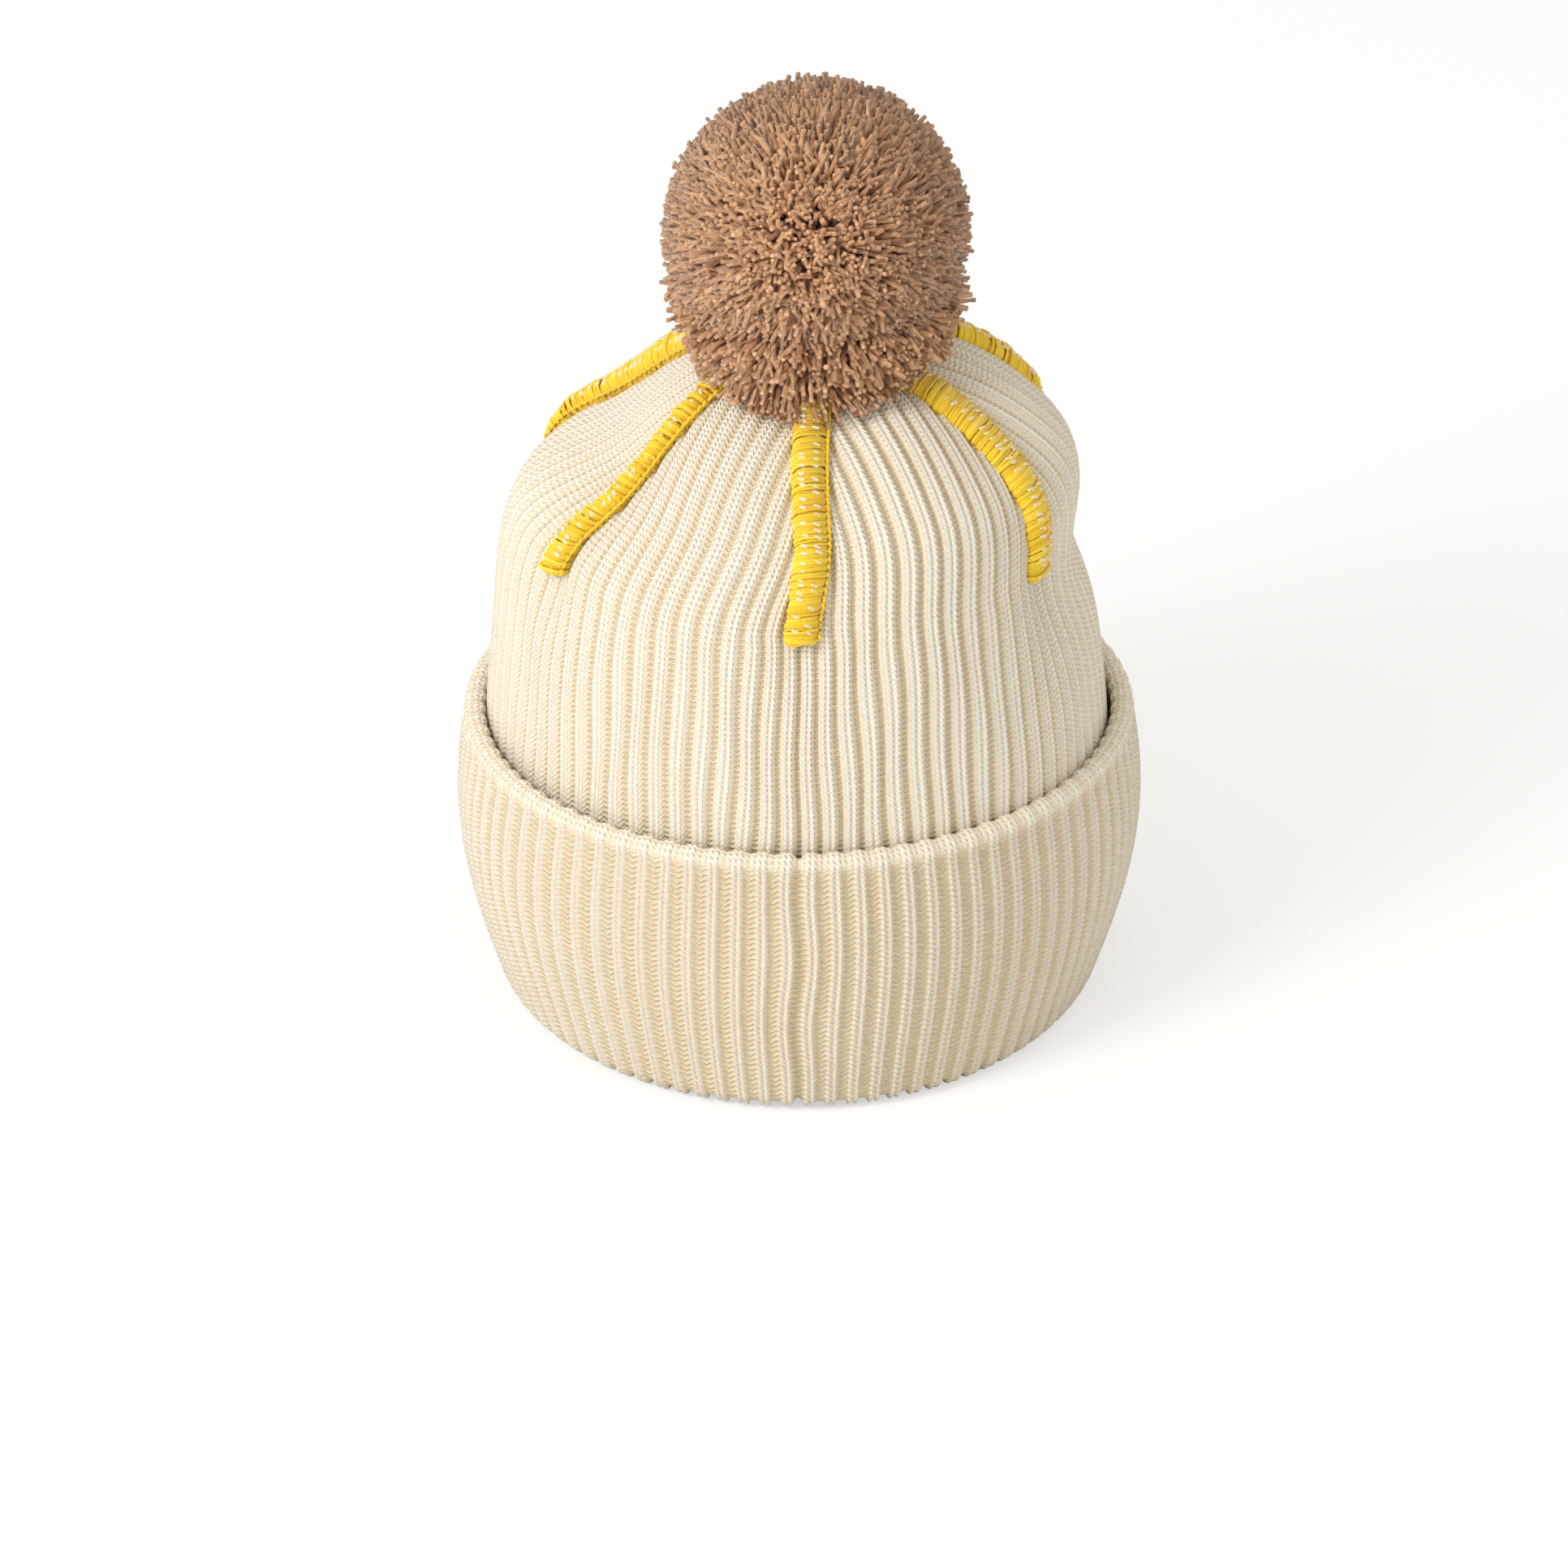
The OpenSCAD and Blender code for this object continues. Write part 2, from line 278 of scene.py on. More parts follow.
def sheet_mesh(name, columns, rows, place):
    """A grid moved to place(a, b), which gives points, (rib, course) coordinates and rib heights.
    Points that meet are merged, and the faces are turned outwards."""
    bm = bmesh.new()
    bmesh.ops.create_grid(bm, x_segments=columns, y_segments=rows, size=1)
    mesh = bpy.data.meshes.new(name)
    bm.to_mesh(mesh)
    bm.free()
    flat = np.empty(len(mesh.vertices) * 3)
    mesh.vertices.foreach_get("co", flat)
    a, b = (flat.reshape(-1, 3)[:, :2].T + 1) / 2
    points, ribs, courses, raised = place(a, b)
    mesh.vertices.foreach_set("co", points.reshape(-1))
    corners = np.empty(len(mesh.loops), dtype=np.int64)
    mesh.loops.foreach_get("vertex_index", corners)
    knit = mesh.uv_layers.new(name="knit")
    knit.data.foreach_set("uv", np.stack([ribs, courses], axis=-1)[corners].reshape(-1))
    mesh.attributes.new("raised", "FLOAT", "POINT").data.foreach_set("value", raised)
    bm = bmesh.new()
    bm.from_mesh(mesh)
    bmesh.ops.remove_doubles(bm, verts=bm.verts, dist=0.02 * MM)
    bmesh.ops.dissolve_degenerate(bm, edges=bm.edges, dist=0.001 * MM)
    bmesh.ops.recalc_face_normals(bm, faces=bm.faces)
    bm.to_mesh(mesh)
    bm.free()
    mesh.polygons.foreach_set("use_smooth", [True] * len(mesh.polygons))
    return mesh


def add_piece(name, mesh, material, body="hat", replaces=None):
    """An object with its place in its mesh, riding on a body of the CAD model."""
    piece = bpy.data.objects.new(name, mesh)
    bpy.context.scene.collection.objects.link(piece)
    mesh.materials.append(material)
    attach(piece, body)
    if replaces:
        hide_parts(*replaces)
    return piece


def last_station(radius):
    """The station on the crown that is radius from its centre."""
    stations = np.linspace(1, 2, 2001)
    return float(stations[np.argmin(np.abs(half_w(stations) - radius))])


EYELET = last_station(EYELET_R)
BODY_END = 4 * MM / SHOULDER_Z    # the body's lower edge, just above the cuff's fold
CUFF_TOP = 0.42              # below this station the cuff hides the body, and its rows are far apart
BODY_OUTSIDE = np.concatenate([np.linspace(BODY_END, CUFF_TOP, 4)[:-1], np.linspace(CUFF_TOP, 1, 26)[:-1],
                               np.linspace(1, EYELET, 58)])
BODY_INSIDE = np.concatenate([np.linspace(EYELET, 1, 11), np.linspace(1, BODY_END, 9)[1:]])
BODY_STATIONS = np.concatenate([BODY_OUTSIDE, BODY_INSIDE, BODY_OUTSIDE[:1]])


def body_place(a, b):
    """Places the body's grid: a runs round the hat from the back, b up the outside and down the inside."""
    rows = len(BODY_STATIONS) - 1
    index = np.rint(b * rows).astype(int)
    s = BODY_STATIONS[index]
    inner = (index >= len(BODY_OUTSIDE)) & (index < rows)
    # the wale keeps its distance from the middle of its petal, until a seam cuts it off
    petal = np.minimum(np.floor(a * PETALS), PETALS - 1)
    middle = (petal + 0.5) / PETALS
    reach = 0.5 / PETALS
    spread = half_w(np.ones(1))[0] / half_w(np.maximum(s, 1))
    turn = middle + np.clip((a - middle) * spread, -reach, reach)
    ribs = (middle + (turn - middle) / spread) * RIBS
    # the darts gather the ribs beside them, so they fan out below each seam's end
    aside = (turn * PETALS + 0.5) % 1 - 0.5
    gather = GATHER * smooth((s - 0.25) / 0.75) * smooth((1.9 - s) / 0.9)
    turn = turn - aside / PETALS * gather * np.cos(aside * np.pi) ** 2
    az = BACK + turn * 2 * np.pi
    raised = np.where(inner, 1 - body_rib(ribs), body_rib(ribs))
    side = from_seam(az) * half_w(s)
    at_seam = smooth(side / (2 * MM)) * (s > 1) + (s <= 1)
    raised = raised * smooth((EYELET - s) / 0.05 + 0.2) * np.where(inner, 1, at_seam)
    off = np.where(inner, -KNIT_T, 0) + np.where(inner, -1, 1) * (raised - 0.6) * BODY_RIB
    # the join at the centre back is a shallow crease below the back crown seam
    join = np.abs(turn - np.rint(turn)) * 2 * np.pi * half_w(s)
    off = off - np.where(inner, 0, 0.5 * MM * np.exp(-(join / (0.7 * MM)) ** 2)) * (s < 1)
    wobble = 0.35 * MM / half_w(s) * np.sin(19 * s + 3 * np.sin(7 * az))
    steps = np.hypot(np.diff(half_w(BODY_OUTSIDE)), np.diff(height(BODY_OUTSIDE)))
    courses = np.interp(s, BODY_OUTSIDE, np.concatenate([[0], np.cumsum(steps)])) / COURSE
    return on_knit(s, az + wobble * (s < 1), off), ribs, courses, raised


def knit_material(name, pale, deep):
    """Soft wool-blend rib knit. Each raised wale is a column of V-shaped stitches, and each groove
    a column of purl bumps, on the piece's own rib and course coordinates. Short fibres roughen
    the yarn, and painted shade makes the grooves and the dips between stitches deeper and warmer."""
    material, tree = new_material(name)
    knit = node(tree, "SeparateXYZ", {0: node(tree, "UVMap", uv_map="knit")})
    rib, course = knit.outputs[0], knit.outputs[1]
    raised = node(tree, "Attribute", attribute_name="raised").outputs["Fac"]
    place = node(tree, "TexCoord").outputs["Object"]
    uneven = node(tree, "TexNoise", {"Vector": place, "Scale": UNEVEN, "Detail": 2})
    course = node(tree, "Math", {0: uneven, 1: 0.45, 2: course}, operation="MULTIPLY_ADD")

    def stitches(per_rib, shift, width, lean):
        """A column of leaning stitches: its waves up the column, and its round back across it."""
        within = node(tree, "Math", {0: rib, 1: per_rib, 2: shift}, operation="MULTIPLY_ADD")
        within = node(tree, "Math", {0: within}, operation="FRACT")
        aside = node(tree, "Math", {0: within, 1: 0.5}, operation="SUBTRACT")
        aside = node(tree, "Math", {0: aside}, operation="ABSOLUTE")
        aside = node(tree, "Math", {0: aside, 1: width}, operation="MULTIPLY")
        aside = node(tree, "Math", {0: aside, 1: 1.0}, operation="MINIMUM")
        phase = node(tree, "Math", {0: aside, 1: lean, 2: course}, operation="MULTIPLY_ADD")
        phase = node(tree, "Math", {0: phase, 1: 2 * math.pi}, operation="MULTIPLY")
        wave = node(tree, "Math", {0: phase}, operation="SINE")
        wave = node(tree, "Math", {0: wave, 1: 0.5, 2: 0.5}, operation="MULTIPLY_ADD")
        away = node(tree, "Math", {0: aside, 1: 2.0}, operation="POWER")
        return wave, node(tree, "Math", {0: 1.0, 1: away}, operation="SUBTRACT")

    plain, plain_back = stitches(4.0, 0.0, 2.0, 0.55)
    purl, purl_back = stitches(1.0, 0.5, 4.0, -0.6)
    plain_back = node(tree, "Math", {0: plain_back, 1: 0.5}, operation="MULTIPLY")
    plain = node(tree, "Math", {0: plain, 1: 0.4, 2: plain_back}, operation="MULTIPLY_ADD")
    purl_back = node(tree, "Math", {0: purl_back, 1: 0.1}, operation="MULTIPLY")
    purl = node(tree, "Math", {0: purl, 1: 0.9, 2: purl_back}, operation="MULTIPLY_ADD")
    on_wale = node(tree, "Math", {0: raised, 1: 2.0}, operation="MULTIPLY")
    on_wale = node(tree, "Math", {0: on_wale, 1: 1.0, 2: 0.3}, operation="SMOOTH_MIN")
    yarn = node(tree, "Mix", {0: on_wale, 2: purl, 3: plain})
    fibres = node(tree, "TexNoise", {"Vector": place, "Scale": FIBRES, "Detail": 4, "Roughness": 0.7})
    relief = node(tree, "Math", {0: fibres, 1: 0.5, 2: yarn}, operation="MULTIPLY_ADD")
    clouds = node(tree, "TexNoise", {"Vector": place, "Scale": CLOUDS, "Detail": 3})
    # painted shade: the lower the knit lies in its rib, and in the dips between stitches, the deeper and
    # warmer its colour; the fibres and clouds add random tone
    level = node(tree, "Math", {0: raised, 1: 0.55}, operation="MULTIPLY")
    level = node(tree, "Math", {0: relief, 1: 0.42, 2: level}, operation="MULTIPLY_ADD")
    level = node(tree, "Math", {0: clouds, 1: 0.2, 2: level}, operation="MULTIPLY_ADD")
    level = node(tree, "Math", {0: level, 1: 1.0}, operation="MINIMUM")
    colour = node(tree, "Mix", {0: level, 6: linear(deep), 7: linear(pale)}, data_type="RGBA")
    bump = node(tree, "Bump", {"Height": relief, "Strength": 1.0, "Distance": 0.9 * MM})
    wool = node(tree, "BsdfPrincipled", {
        "Base Color": colour.outputs[2], "Roughness": 0.92, "Normal": bump,
        "Specular IOR Level": 0.2, "Sheen Weight": 0.25, "Sheen Roughness": 0.45,
        "Sheen Tint": linear("#FFF6E6"),
    })
    node(tree, "OutputMaterial", {0: wool})
    return material


cream_knit = knit_material("cream_wool_rib_knit", CREAM, CREAM_GROOVE_SHADE)
body = add_piece("body_knit", sheet_mesh("body_knit", COLUMNS, len(BODY_STATIONS) - 1, body_place),
                 cream_knit, replaces=["body_panel"])


# ---- Cuff ----
# The lower end of the same tube, turned up over itself. Its ribs are drawn apart, so each is
# a narrow pair of wales with a wide hollow beside it, and its top edge is soft and rounded.
CUFF_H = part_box("cuff")[1][2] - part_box("cuff")[0][2]
CUFF_T = 4.5 * MM
CUFF_EASE_W, CUFF_EASE_D = 5.2 * MM, 3.2 * MM
FIT_GAP = 0.3 * MM
CUFF_RIB = 1.6 * MM          # depth of the hollows between the cuff's ribs
CUFF_CREASE = 1.2 * MM       # depth of the crease where the cuff is joined
FOLD_H, FOLD_DROP = 5 * MM, 4.2 * MM    # the fold bends from this height, and by this much
EDGE_R = 2.9 * MM            # the top edge is rounder than the knit is thick


def cuff_rib(x):
    """Height over one period x: a pair of narrow wales, then a wide hollow."""
    x = x % 1
    cords = sum(np.where(np.abs(x - c) < 0.14, np.cos((x - c) / 0.14 * np.pi / 2) ** 2, 0)
                for c in (0.35, 0.65))
    bed = smooth((x - 0.19) / 0.16) * smooth((0.81 - x) / 0.16)
    return np.maximum(cords, 0.5 * bed)


def on_cuff(z, az, off):
    """Points on the cuff at height z, off metres outside its inner face."""
    s = z / SHOULDER_Z
    bend = np.sin(math.radians(165) * np.clip(z / CUFF_H, 0, 1))
    slack = 0.8 * MM * np.sin(2 * az + 0.7) * smooth(z / CUFF_H) + 0.5 * MM * np.sin(5 * az + 2) * bend
    out = off + FIT_GAP + slack
    return np.stack([(half_w(s) + CUFF_EASE_W * bend + out) * np.cos(az),
                     (half_d(s) + CUFF_EASE_D * bend + out) * np.sin(az), z + 0 * az], axis=-1)


def cuff_section():
    """The cuff's section, as points (out, up) from the fold, up the outside and down inside, with
    the way that the knit faces at each. The last point is the first again."""
    fold = np.linspace(-np.pi, 0, 11)[:-1]
    half_fold = (CUFF_T + KNIT_T + FIT_GAP) / 2
    edge = np.linspace(0, np.pi, 11)
    path = np.concatenate([
        np.stack([CUFF_T - half_fold + half_fold * np.cos(fold), FOLD_H + FOLD_DROP * np.sin(fold)], -1),
        np.stack([np.full(36, CUFF_T), np.linspace(FOLD_H, CUFF_H - EDGE_R, 36)], -1)[:-1],
        np.stack([CUFF_T / 2 + EDGE_R * np.cos(edge), CUFF_H - EDGE_R + EDGE_R * np.sin(edge)], -1),
        np.stack([np.zeros(10), np.linspace(CUFF_H - EDGE_R, FOLD_H, 10)], -1)[1:],
    ])
    ahead = np.roll(path, -1, axis=0) - np.roll(path, 1, axis=0)
    normal = np.stack([ahead[:, 1], -ahead[:, 0]], -1) / np.linalg.norm(ahead, axis=1)[:, None]
    return np.concatenate([path, path[:1]]), np.concatenate([normal, normal[:1]])


CUFF_PATH, CUFF_NORMAL = cuff_section()


def cuff_place(a, b):
    """Places the cuff's grid: a runs round the hat from the back, b round the cuff's section."""
    length = np.concatenate([[0], np.cumsum(np.linalg.norm(np.diff(CUFF_PATH, axis=0), axis=1))])
    index = np.rint(b * (len(CUFF_PATH) - 1)).astype(int)
    off, z = CUFF_PATH[index].T
    out, up = CUFF_NORMAL[index].T
    ribs = a * RIBS
    raised = cuff_rib(ribs)
    at_edge = smooth((z - CUFF_H + 7 * MM) / (6 * MM))
    raised = raised + (0.72 + 0.22 * np.cos((ribs % 1 - 0.5) * 2 * np.pi) - raised) * at_edge * 0.9
    turn = np.abs(a - np.rint(a)) * 2 * np.pi * half_d(np.full(1, 0.3))[0]
    crease = np.exp(-((turn - 0.3 * MM) / (0.8 * MM)) ** 2)
    wander = 0.6 * MM * np.sin(z / (6.3 * MM)) * np.exp(-(turn / (9 * MM)) ** 2)
    lift = (raised - 0.55) * CUFF_RIB - CUFF_CREASE * crease
    az = BACK + a * 2 * np.pi
    az = az + (wander + 0.4 * MM * np.sin(z / (13 * MM) + 2 * az)) / (95 * MM)
    points = on_cuff(z + lift * up, az, off + lift * out)
    return points, ribs, length[index] / COURSE, raised


# the cuff's hollows take the same painted shade as the body's grooves
cuff_knit = knit_material("cream_wool_cuff_knit", CREAM, CREAM_GROOVE_SHADE)
cuff = add_piece("cuff_knit", sheet_mesh("cuff_knit", COLUMNS, len(CUFF_PATH) - 1, cuff_place),
                 cuff_knit, replaces=["cuff"])


# ---- Crown seams ----
# Six darts close the crown. Each is overlocked on the outside in thick yellow yarn, so its cut
# cream edges make a soft ridge that is wrapped all along, with a chain of loops on one edge.
SEAM_W, SEAM_H = 9 * MM, 5 * MM
SEAM_STOP = 13 * MM          # the seams stop this far from the crown's centre, under the pompom
STITCH = 2.1 * MM            # length of one overlock stitch
WRAPS = 3                    # wraps of yarn in each stitch
HOOK_R = np.array([1, 1.25, 1.3, 1.3, 1.25, 1.2, 1.15, 1.1, 1.05, 1, 0.85, 0.4]) * 1.05 * MM
YELLOW, YELLOW_DEEP = "#FCDE45", "#E2A318"
THREAD_CREAM, THREAD_CREAM_DEEP = "#FBF1DE", "#DDC392"


def straight_thread(sides, rings):
    """A straight thread of radius 1 up Z, drawn from a circle one ring at a time."""
    bm = bmesh.new()
    bmesh.ops.create_circle(bm, cap_ends=True, segments=sides, radius=1)
    bm.faces.ensure_lookup_table()
    top = bm.faces[0]
    for _ in range(rings - 1):
        made = bmesh.ops.extrude_face_region(bm, geom=[top])["geom"]
        top = next(g for g in made if isinstance(g, bmesh.types.BMFace))
        bmesh.ops.translate(bm, verts=top.verts[:], vec=(0, 0, 1))
    bmesh.ops.recalc_face_normals(bm, faces=bm.faces[:])
    mesh = bpy.data.meshes.new("straight_thread")
    bm.to_mesh(mesh)
    bm.free()
    return mesh


def bend(name, routes, radii, sides=5, lobes=0.0, turns=0.0, flat=1.0, out=(0, 0, 1), shades=None):
    """One mesh with a copy of a straight thread bent along each route (threads x rings x 3).
    lobes and turns give it twisted plies, flat presses it along out, and shades tint each thread."""
    routes = np.asarray(routes, float)
    count, rings = routes.shape[:2]
    radii = np.broadcast_to(radii, (count, rings))
    single = straight_thread(sides, rings)
    bm = bmesh.new()
    for _ in range(count):
        bm.from_mesh(single)
    mesh = bpy.data.meshes.new(name)
    bm.to_mesh(mesh)
    bm.free()
    unit = np.empty(len(single.vertices) * 3)
    single.vertices.foreach_get("co", unit)
    unit = unit.reshape(-1, 3)
    bpy.data.meshes.remove(single)
    ring = np.rint(unit[:, 2]).astype(int)
    side = np.arctan2(unit[:, 1], unit[:, 0])
    angle = side + turns * 2 * np.pi * ring / (rings - 1)
    ahead = np.gradient(routes, axis=1)
    ahead /= np.linalg.norm(ahead, axis=2, keepdims=True) + 1e-12
    across = np.cross(ahead, np.broadcast_to(out, routes.shape))
    across /= np.linalg.norm(across, axis=2, keepdims=True) + 1e-12
    up = np.cross(across, ahead)
    wide = (radii[:, ring] * (1 + lobes * np.cos(3 * side)))[..., None]
    points = routes[:, ring] + wide * (np.cos(angle)[:, None] * across[:, ring]
                                       + flat * np.sin(angle)[:, None] * up[:, ring])
    mesh.vertices.foreach_set("co", points.reshape(-1))
    shades = np.full(count, 0.5) if shades is None else np.asarray(shades)
    along = np.tile(ring / (rings - 1), count)
    mesh.attributes.new("shade", "FLOAT", "POINT").data.foreach_set("value", np.repeat(shades, len(unit)))
    mesh.attributes.new("along", "FLOAT", "POINT").data.foreach_set("value", along)
    mesh.polygons.foreach_set("use_smooth", [True] * len(mesh.polygons))
    mesh.update()
    return mesh


def joined(name, meshes):
    """The meshes as one."""
    bm = bmesh.new()
    for mesh in meshes:
        bm.from_mesh(mesh)
        bpy.data.meshes.remove(mesh)
    mesh = bpy.data.meshes.new(name)
    bm.to_mesh(mesh)
    bm.free()
    return mesh


def yarn_material(name, pale, deep, root_shade=0.0, grain=0.25 * MM, sheen=0.2):
    """Soft spun yarn. Each thread has its own tone. Painted shade darkens each cut strand towards its
    base, where it lies deep in the ball, by the given share; the short fibres of the spin make a fine streaky
    bump."""
    material, tree = new_material(name)
    shade = node(tree, "Attribute", attribute_name="shade").outputs["Fac"]
    along = node(tree, "Attribute", attribute_name="along").outputs["Fac"]
    place = node(tree, "TexCoord").outputs["Object"]
    fibre = node(tree, "TexNoise", {"Vector": place, "Scale": 0.35 / grain, "Detail": 3, "Roughness": 0.65})
    level = node(tree, "Math", {0: fibre, 1: 0.7, 2: -0.35}, operation="MULTIPLY_ADD")
    level = node(tree, "Math", {0: level, 1: shade}, operation="ADD")
    # painted shade: darker towards the strand's base, deep in the ball
    painted_root_shade = node(tree, "Math", {0: along, 1: root_shade, 2: -root_shade}, operation="MULTIPLY_ADD")
    level = node(tree, "Math", {0: level, 1: painted_root_shade}, operation="ADD", use_clamp=True)
    colour = node(tree, "Mix", {0: level, 6: linear(deep), 7: linear(pale)}, data_type="RGBA")
    bump = node(tree, "Bump", {"Height": fibre, "Strength": 0.6, "Distance": 0.3 * MM})
    yarn = node(tree, "BsdfPrincipled", {
        "Base Color": colour.outputs[2], "Roughness": 0.85, "Normal": bump,
        "Specular IOR Level": 0.25, "Sheen Weight": sheen, "Sheen Roughness": 0.4,
    })
    node(tree, "OutputMaterial", {0: yarn})
    return material


def overlock(place, length, width, height, seed, thread=0.56 * MM, core_share=0.86):
    """The meshes of one overlocked edge: its padded core, its wraps, its cream specks and its
    chain. place(along, side, up) gives points, in metres from the seam's lower end."""
    rng = np.random.default_rng(seed)
    half = width / 2
    ring = np.linspace(0, 1, 60)
    body_r = half * core_share * np.minimum(1, 0.25 + 2.2 * np.sqrt(np.minimum(ring, 1 - ring) * 6))
    body_r = np.minimum(body_r, half * core_share)
    along = 0.6 * MM + ring * (length - 1.2 * MM)
    line = place(along, 0 * along, 0 * along + height * 0.42)
    above = place(along, 0 * along, 0 * along + height * 1.42) - line
    core = bend("core", line[None], body_r[None], sides=14, flat=height * 0.9 / width, out=above[None])

    count = int(length / (STITCH / WRAPS))
    turn = np.linspace(math.radians(-14), math.radians(194), 9)[None]
    start = (np.arange(count)[:, None] + rng.normal(0, 0.13, (count, 1))) * STITCH / WRAPS
    bulge = 1 + rng.normal(0, 0.045, (count, 1))
    beat = 1 + 0.05 * np.sin(start / STITCH * 2 * np.pi)
    side = half * np.cos(turn) * bulge * beat
    up = height * (0.12 + 0.88 * np.sin(turn)) * bulge * beat
    slant = start - turn / np.pi * 1.5 * MM + rng.normal(0, 0.08, (count, 9)) * MM
    routes = place(np.clip(slant, -0.4 * MM, length), side, up)
    radii = thread * (1 + rng.normal(0, 0.14, (count, 1))) * np.ones((1, 9))
    middle = place(slant, 0 * side, 0 * up)
    wraps = bend("wraps", routes, radii, sides=5, flat=0.8, out=routes - middle,
                 shades=np.clip(rng.normal(0.72, 0.13, count), 0, 1))

    knots = np.arange(STITCH, length - STITCH / 2, STITCH)
    pairs = [(k, c) for k in knots for c in (-0.42, 0.4) if rng.random() < 0.8]
    at = np.array(pairs).T
    swing = np.linspace(-1, 1, 5)[None] * MM
    lay = rng.normal(0, 0.3, (len(pairs), 1)) * MM
    speck_side = at[1][:, None] * half + swing + lay * 0.5
    speck_up = height * (1.02 + 0.02 * rng.normal(0, 1, (len(pairs), 1))) * np.sqrt(
        np.clip(1 - (speck_side / half) ** 2, 0.05, 1)) + 0.22 * MM
    speck_along = at[0][:, None] + lay - swing * 0.35
    size = (0.6 + 0.2 * rng.random((len(pairs), 1))) * MM
    specks = bend("specks", place(speck_along, speck_side, speck_up),
                  size * np.array([[0.25, 0.85, 1, 0.85, 0.25]]), sides=6, flat=0.8)

    loops = int(length / STITCH)
    t = np.linspace(0, loops * 2 * np.pi, loops * 9)
    base = t / (2 * np.pi) * STITCH
    chain_route = place(base + 0.75 * MM * np.sin(t), half * 1.02 + 0.55 * MM * np.cos(t),
                        height * 0.4 + 0.5 * MM * np.sin(2 * t + 1))
    chain = bend("chain", chain_route[None], np.full((1, len(t)), thread * 0.9), sides=5,
                 shades=[0.6])
    return core, wraps, specks, chain


def seam_path(az, last):
    """Length of the seam at azimuth az, and a function that gives points along it."""
    stations = np.linspace(1, last, 300)
    steps = np.linalg.norm(np.diff(on_knit(stations, az, 0), axis=0), axis=1)
    lengths = np.concatenate([[0], np.cumsum(steps)])

    def place(along, side, up):
        s = np.interp(along, lengths, stations)
        s = s + np.minimum(along, 0) / SHOULDER_Z
        sway = 0.9 * MM * np.sin(along / (15 * MM) + 3 * az)
        return on_knit(s, az + (side + sway) / half_w(s), up + 0.2 * MM)

    return lengths[-1], place


yellow_thread = yarn_material("yellow_overlock_yarn", YELLOW, YELLOW_DEEP)
cream_thread = yarn_material("cream_knit_edge", THREAD_CREAM, THREAD_CREAM_DEEP)
for index, name in enumerate(("back", "back_right", "front_right", "front", "front_left", "back_left")):
    seam_length, seam_place = seam_path(BACK + index * 2 * math.pi / PETALS, last_station(SEAM_STOP))
    core, wraps, specks, chain = overlock(seam_place, seam_length, SEAM_W, SEAM_H, 11 + index)
    # the thread's end turns back under the lower end in a small hook
    t = np.linspace(0, 1, len(HOOK_R))
    hook_route = seam_place(MM - 2.6 * MM * np.sin(2.4 * t), (1.5 - 6.2 * t) * MM,
                            SEAM_H * 0.5 * (1 - t) + 1.2 * MM)
    hook = bend("hook", hook_route[None], HOOK_R[None], sides=8, shades=[0.45])
    add_piece("seam_specks_" + name, specks, cream_thread)
    add_piece("seam_wraps_" + name, joined("seam_wraps_" + name, [core, wraps, chain, hook]),
              yellow_thread, replaces=["crown_seam_" + name])


# ---- Back join ----
# The tube's two edges meet at the centre back and are overlocked inside in cream yarn, once
# behind the body and once, pressed flatter, behind the cuff. Nothing of it shows outside.
JOIN_W, JOIN_T, CUFF_JOIN_T = 7 * MM, 2 * MM, 1.4 * MM
JOIN_THREAD = 0.3 * MM       # radius of its wraps, which stay inside the join's width and thickness


def body_join_place(along, side, up):
    """Points on the join inside the body, along it from the body's lower edge."""
    s = BODY_END + along / SHOULDER_Z
    return on_knit(s, BACK + side / half_w(s), -KNIT_T - FIT_GAP - up)


def cuff_join_place(along, side, up):
    """Points on the join between the cuff and the body, along it from a little above the fold."""
    z = CUFF_H * 0.22 + along
    return on_cuff(z, BACK + side / half_w(z / SHOULDER_Z), -FIT_GAP - up)


for name, join_place, length, thick in (
    ("back_seam", body_join_place, SHOULDER_Z - 5 * MM, JOIN_T),
    ("cuff_seam", cuff_join_place, CUFF_H * 0.66, CUFF_JOIN_T),
):
    parts = overlock(join_place, length, JOIN_W - 0.8 * MM, thick - 0.4 * MM, len(name), thread=JOIN_THREAD)
    add_piece(name + "_yarn", joined(name + "_yarn", parts), cream_thread, replaces=[name])


# ---- Care label ----
# A folded ribbon of white polyester satin with nothing on it, caught in the back join inside.
# It hangs beside the join and curls a little at its free end.
LABEL_W, LABEL_H, LABEL_T = 30 * MM, 22 * MM, 0.5 * MM
LABEL_RISE = 14 * MM         # height of the label's lower edge
SATIN, SATIN_DEEP = "#FBFAF6", "#E6E4DE"
FLOATS = (0.9 / MM, 0.9 / MM, 5.2 / MM)    # the weave's floats lie 0.2 mm apart and 1.1 mm long


def satin_material(name, pale, deep):
    """Polyester satin ribbon: smooth floats of filament that shine along the weave."""
    material, tree = new_material(name)
    place = node(tree, "TexCoord").outputs["Object"]
    stretch = node(tree, "Mapping", {"Vector": place, "Scale": FLOATS})
    floats = node(tree, "TexNoise", {"Vector": stretch, "Scale": 1.0, "Detail": 2})
    tone = node(tree, "Mix", {0: floats, 6: linear(deep), 7: linear(pale)}, data_type="RGBA")
    bump = node(tree, "Bump", {"Height": floats, "Strength": 0.25, "Distance": 0.05 * MM})
    satin = node(tree, "BsdfPrincipled", {
        "Base Color": tone.outputs[2], "Roughness": 0.38, "Anisotropic": 0.5, "Normal": bump,
    })
    node(tree, "OutputMaterial", {0: satin})
    return material


